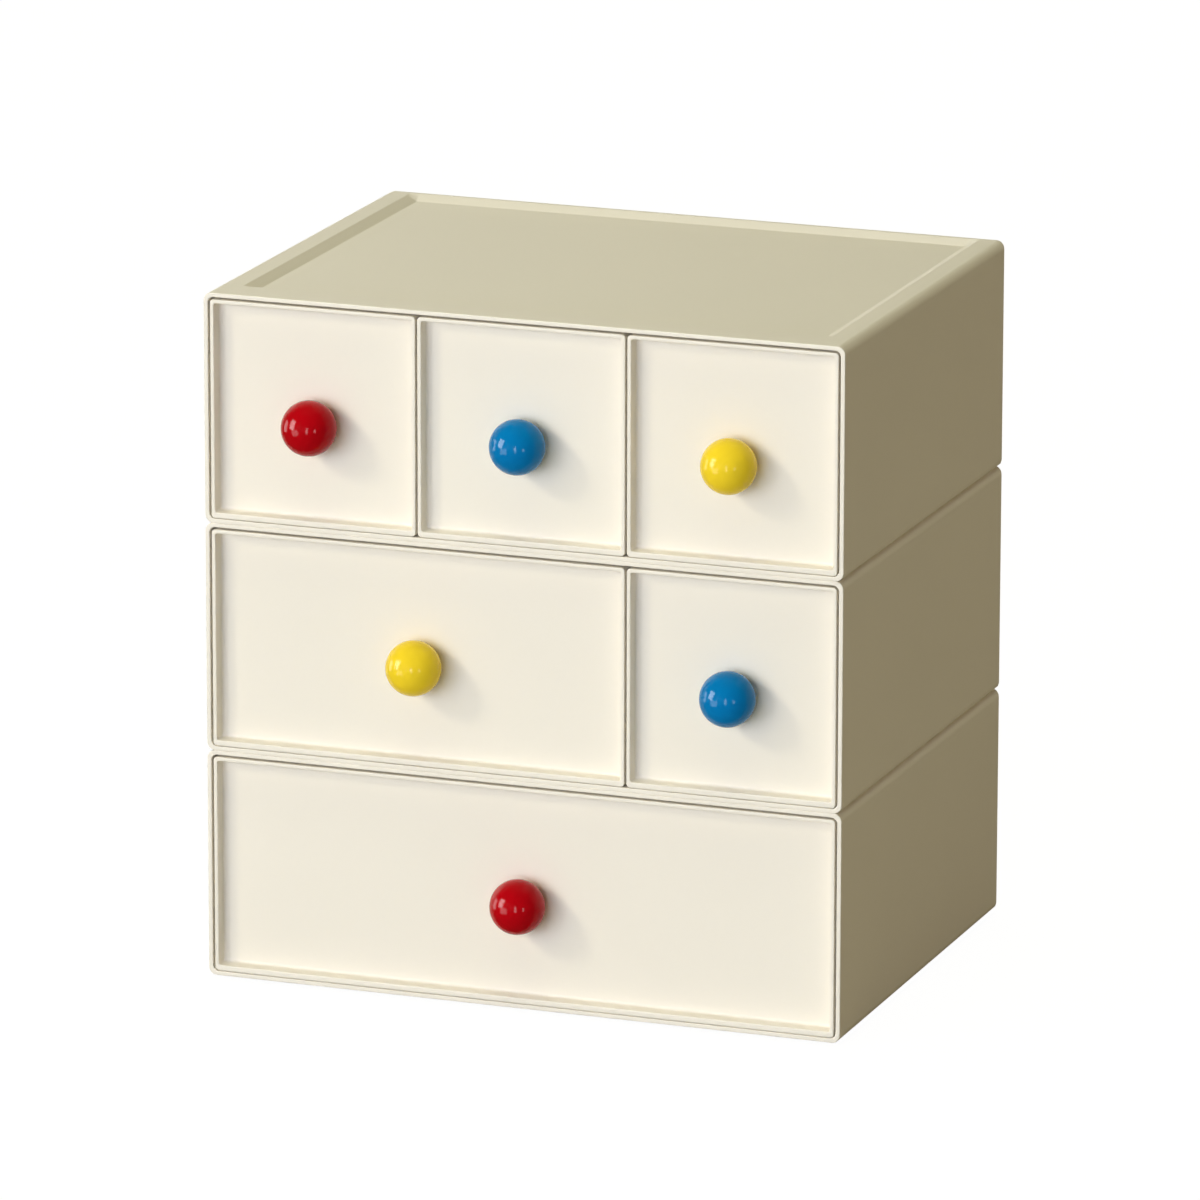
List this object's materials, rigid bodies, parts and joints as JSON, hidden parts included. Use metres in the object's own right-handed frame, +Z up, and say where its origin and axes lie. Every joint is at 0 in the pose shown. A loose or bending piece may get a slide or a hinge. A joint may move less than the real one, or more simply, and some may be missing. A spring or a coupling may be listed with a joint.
{
  "type": "desktop mini drawers",
  "caption": "Desktop drawer organizer in stacked cream plastic casings, with recessed-front drawers on round ball knobs and a shallow tray on top.",
  "frame": {"origin": "centre of the footprint, knobs included, on the surface that the feet stand on", "axes": "+Z up, -Y the front with the drawer knobs, +X to the right as seen from the front"},
  "size_m": [0.24, 0.1934, 0.2538],
  "materials": {
    "cream_plastic": "satin moulded plastic with a fine grain",
    "knob_red": "high gloss",
    "knob_blue": "high gloss",
    "knob_yellow": "high gloss",
    "screw_steel": "zinc-plated"
  },
  "bodies": {
    "bottom_tier": {"casing_bottom": "cream_plastic"},
    "middle_tier": {"casing_middle": "cream_plastic", "divider_middle": "cream_plastic"},
    "top_tier": {"casing_top": "cream_plastic", "divider_top_left": "cream_plastic", "divider_top_right": "cream_plastic"},
    "drawer_box_bottom": {"drawer_bottom": "cream_plastic", "knob_bottom": "knob_red", "knob_screw_bottom": "screw_steel"},
    "drawer_box_middle_wide": {"drawer_middle_wide": "cream_plastic", "knob_middle_wide": "knob_yellow", "knob_screw_middle_wide": "screw_steel"},
    "drawer_box_middle_small": {"drawer_middle_small": "cream_plastic", "knob_middle_small": "knob_blue", "knob_screw_middle_small": "screw_steel"},
    "drawer_box_top_left": {"drawer_top_left": "cream_plastic", "knob_top_left": "knob_red", "knob_screw_top_left": "screw_steel"},
    "drawer_box_top_middle": {"drawer_top_middle": "cream_plastic", "knob_top_middle": "knob_blue", "knob_screw_top_middle": "screw_steel"},
    "drawer_box_top_right": {"drawer_top_right": "cream_plastic", "knob_top_right": "knob_yellow", "knob_screw_top_right": "screw_steel"}
  },
  "joints": [
    {"name": "middle_tier_lift", "type": "slide", "parent": "bottom_tier", "child": "middle_tier", "axis": [0, 0, 1], "range_m": [0, 0.03]},
    {"name": "top_tier_lift", "type": "slide", "parent": "middle_tier", "child": "top_tier", "axis": [0, 0, 1], "range_m": [0, 0.03]},
    {"name": "drawer_bottom_slide", "type": "slide", "parent": "bottom_tier", "child": "drawer_box_bottom", "axis": [0, -1, 0], "range_m": [0, 0.155]},
    {"name": "drawer_middle_wide_slide", "type": "slide", "parent": "middle_tier", "child": "drawer_box_middle_wide", "axis": [0, -1, 0], "range_m": [0, 0.155]},
    {"name": "drawer_middle_small_slide", "type": "slide", "parent": "middle_tier", "child": "drawer_box_middle_small", "axis": [0, -1, 0], "range_m": [0, 0.155]},
    {"name": "drawer_top_left_slide", "type": "slide", "parent": "top_tier", "child": "drawer_box_top_left", "axis": [0, -1, 0], "range_m": [0, 0.155]},
    {"name": "drawer_top_middle_slide", "type": "slide", "parent": "top_tier", "child": "drawer_box_top_middle", "axis": [0, -1, 0], "range_m": [0, 0.155]},
    {"name": "drawer_top_right_slide", "type": "slide", "parent": "top_tier", "child": "drawer_box_top_right", "axis": [0, -1, 0], "range_m": [0, 0.155]}
  ]
}
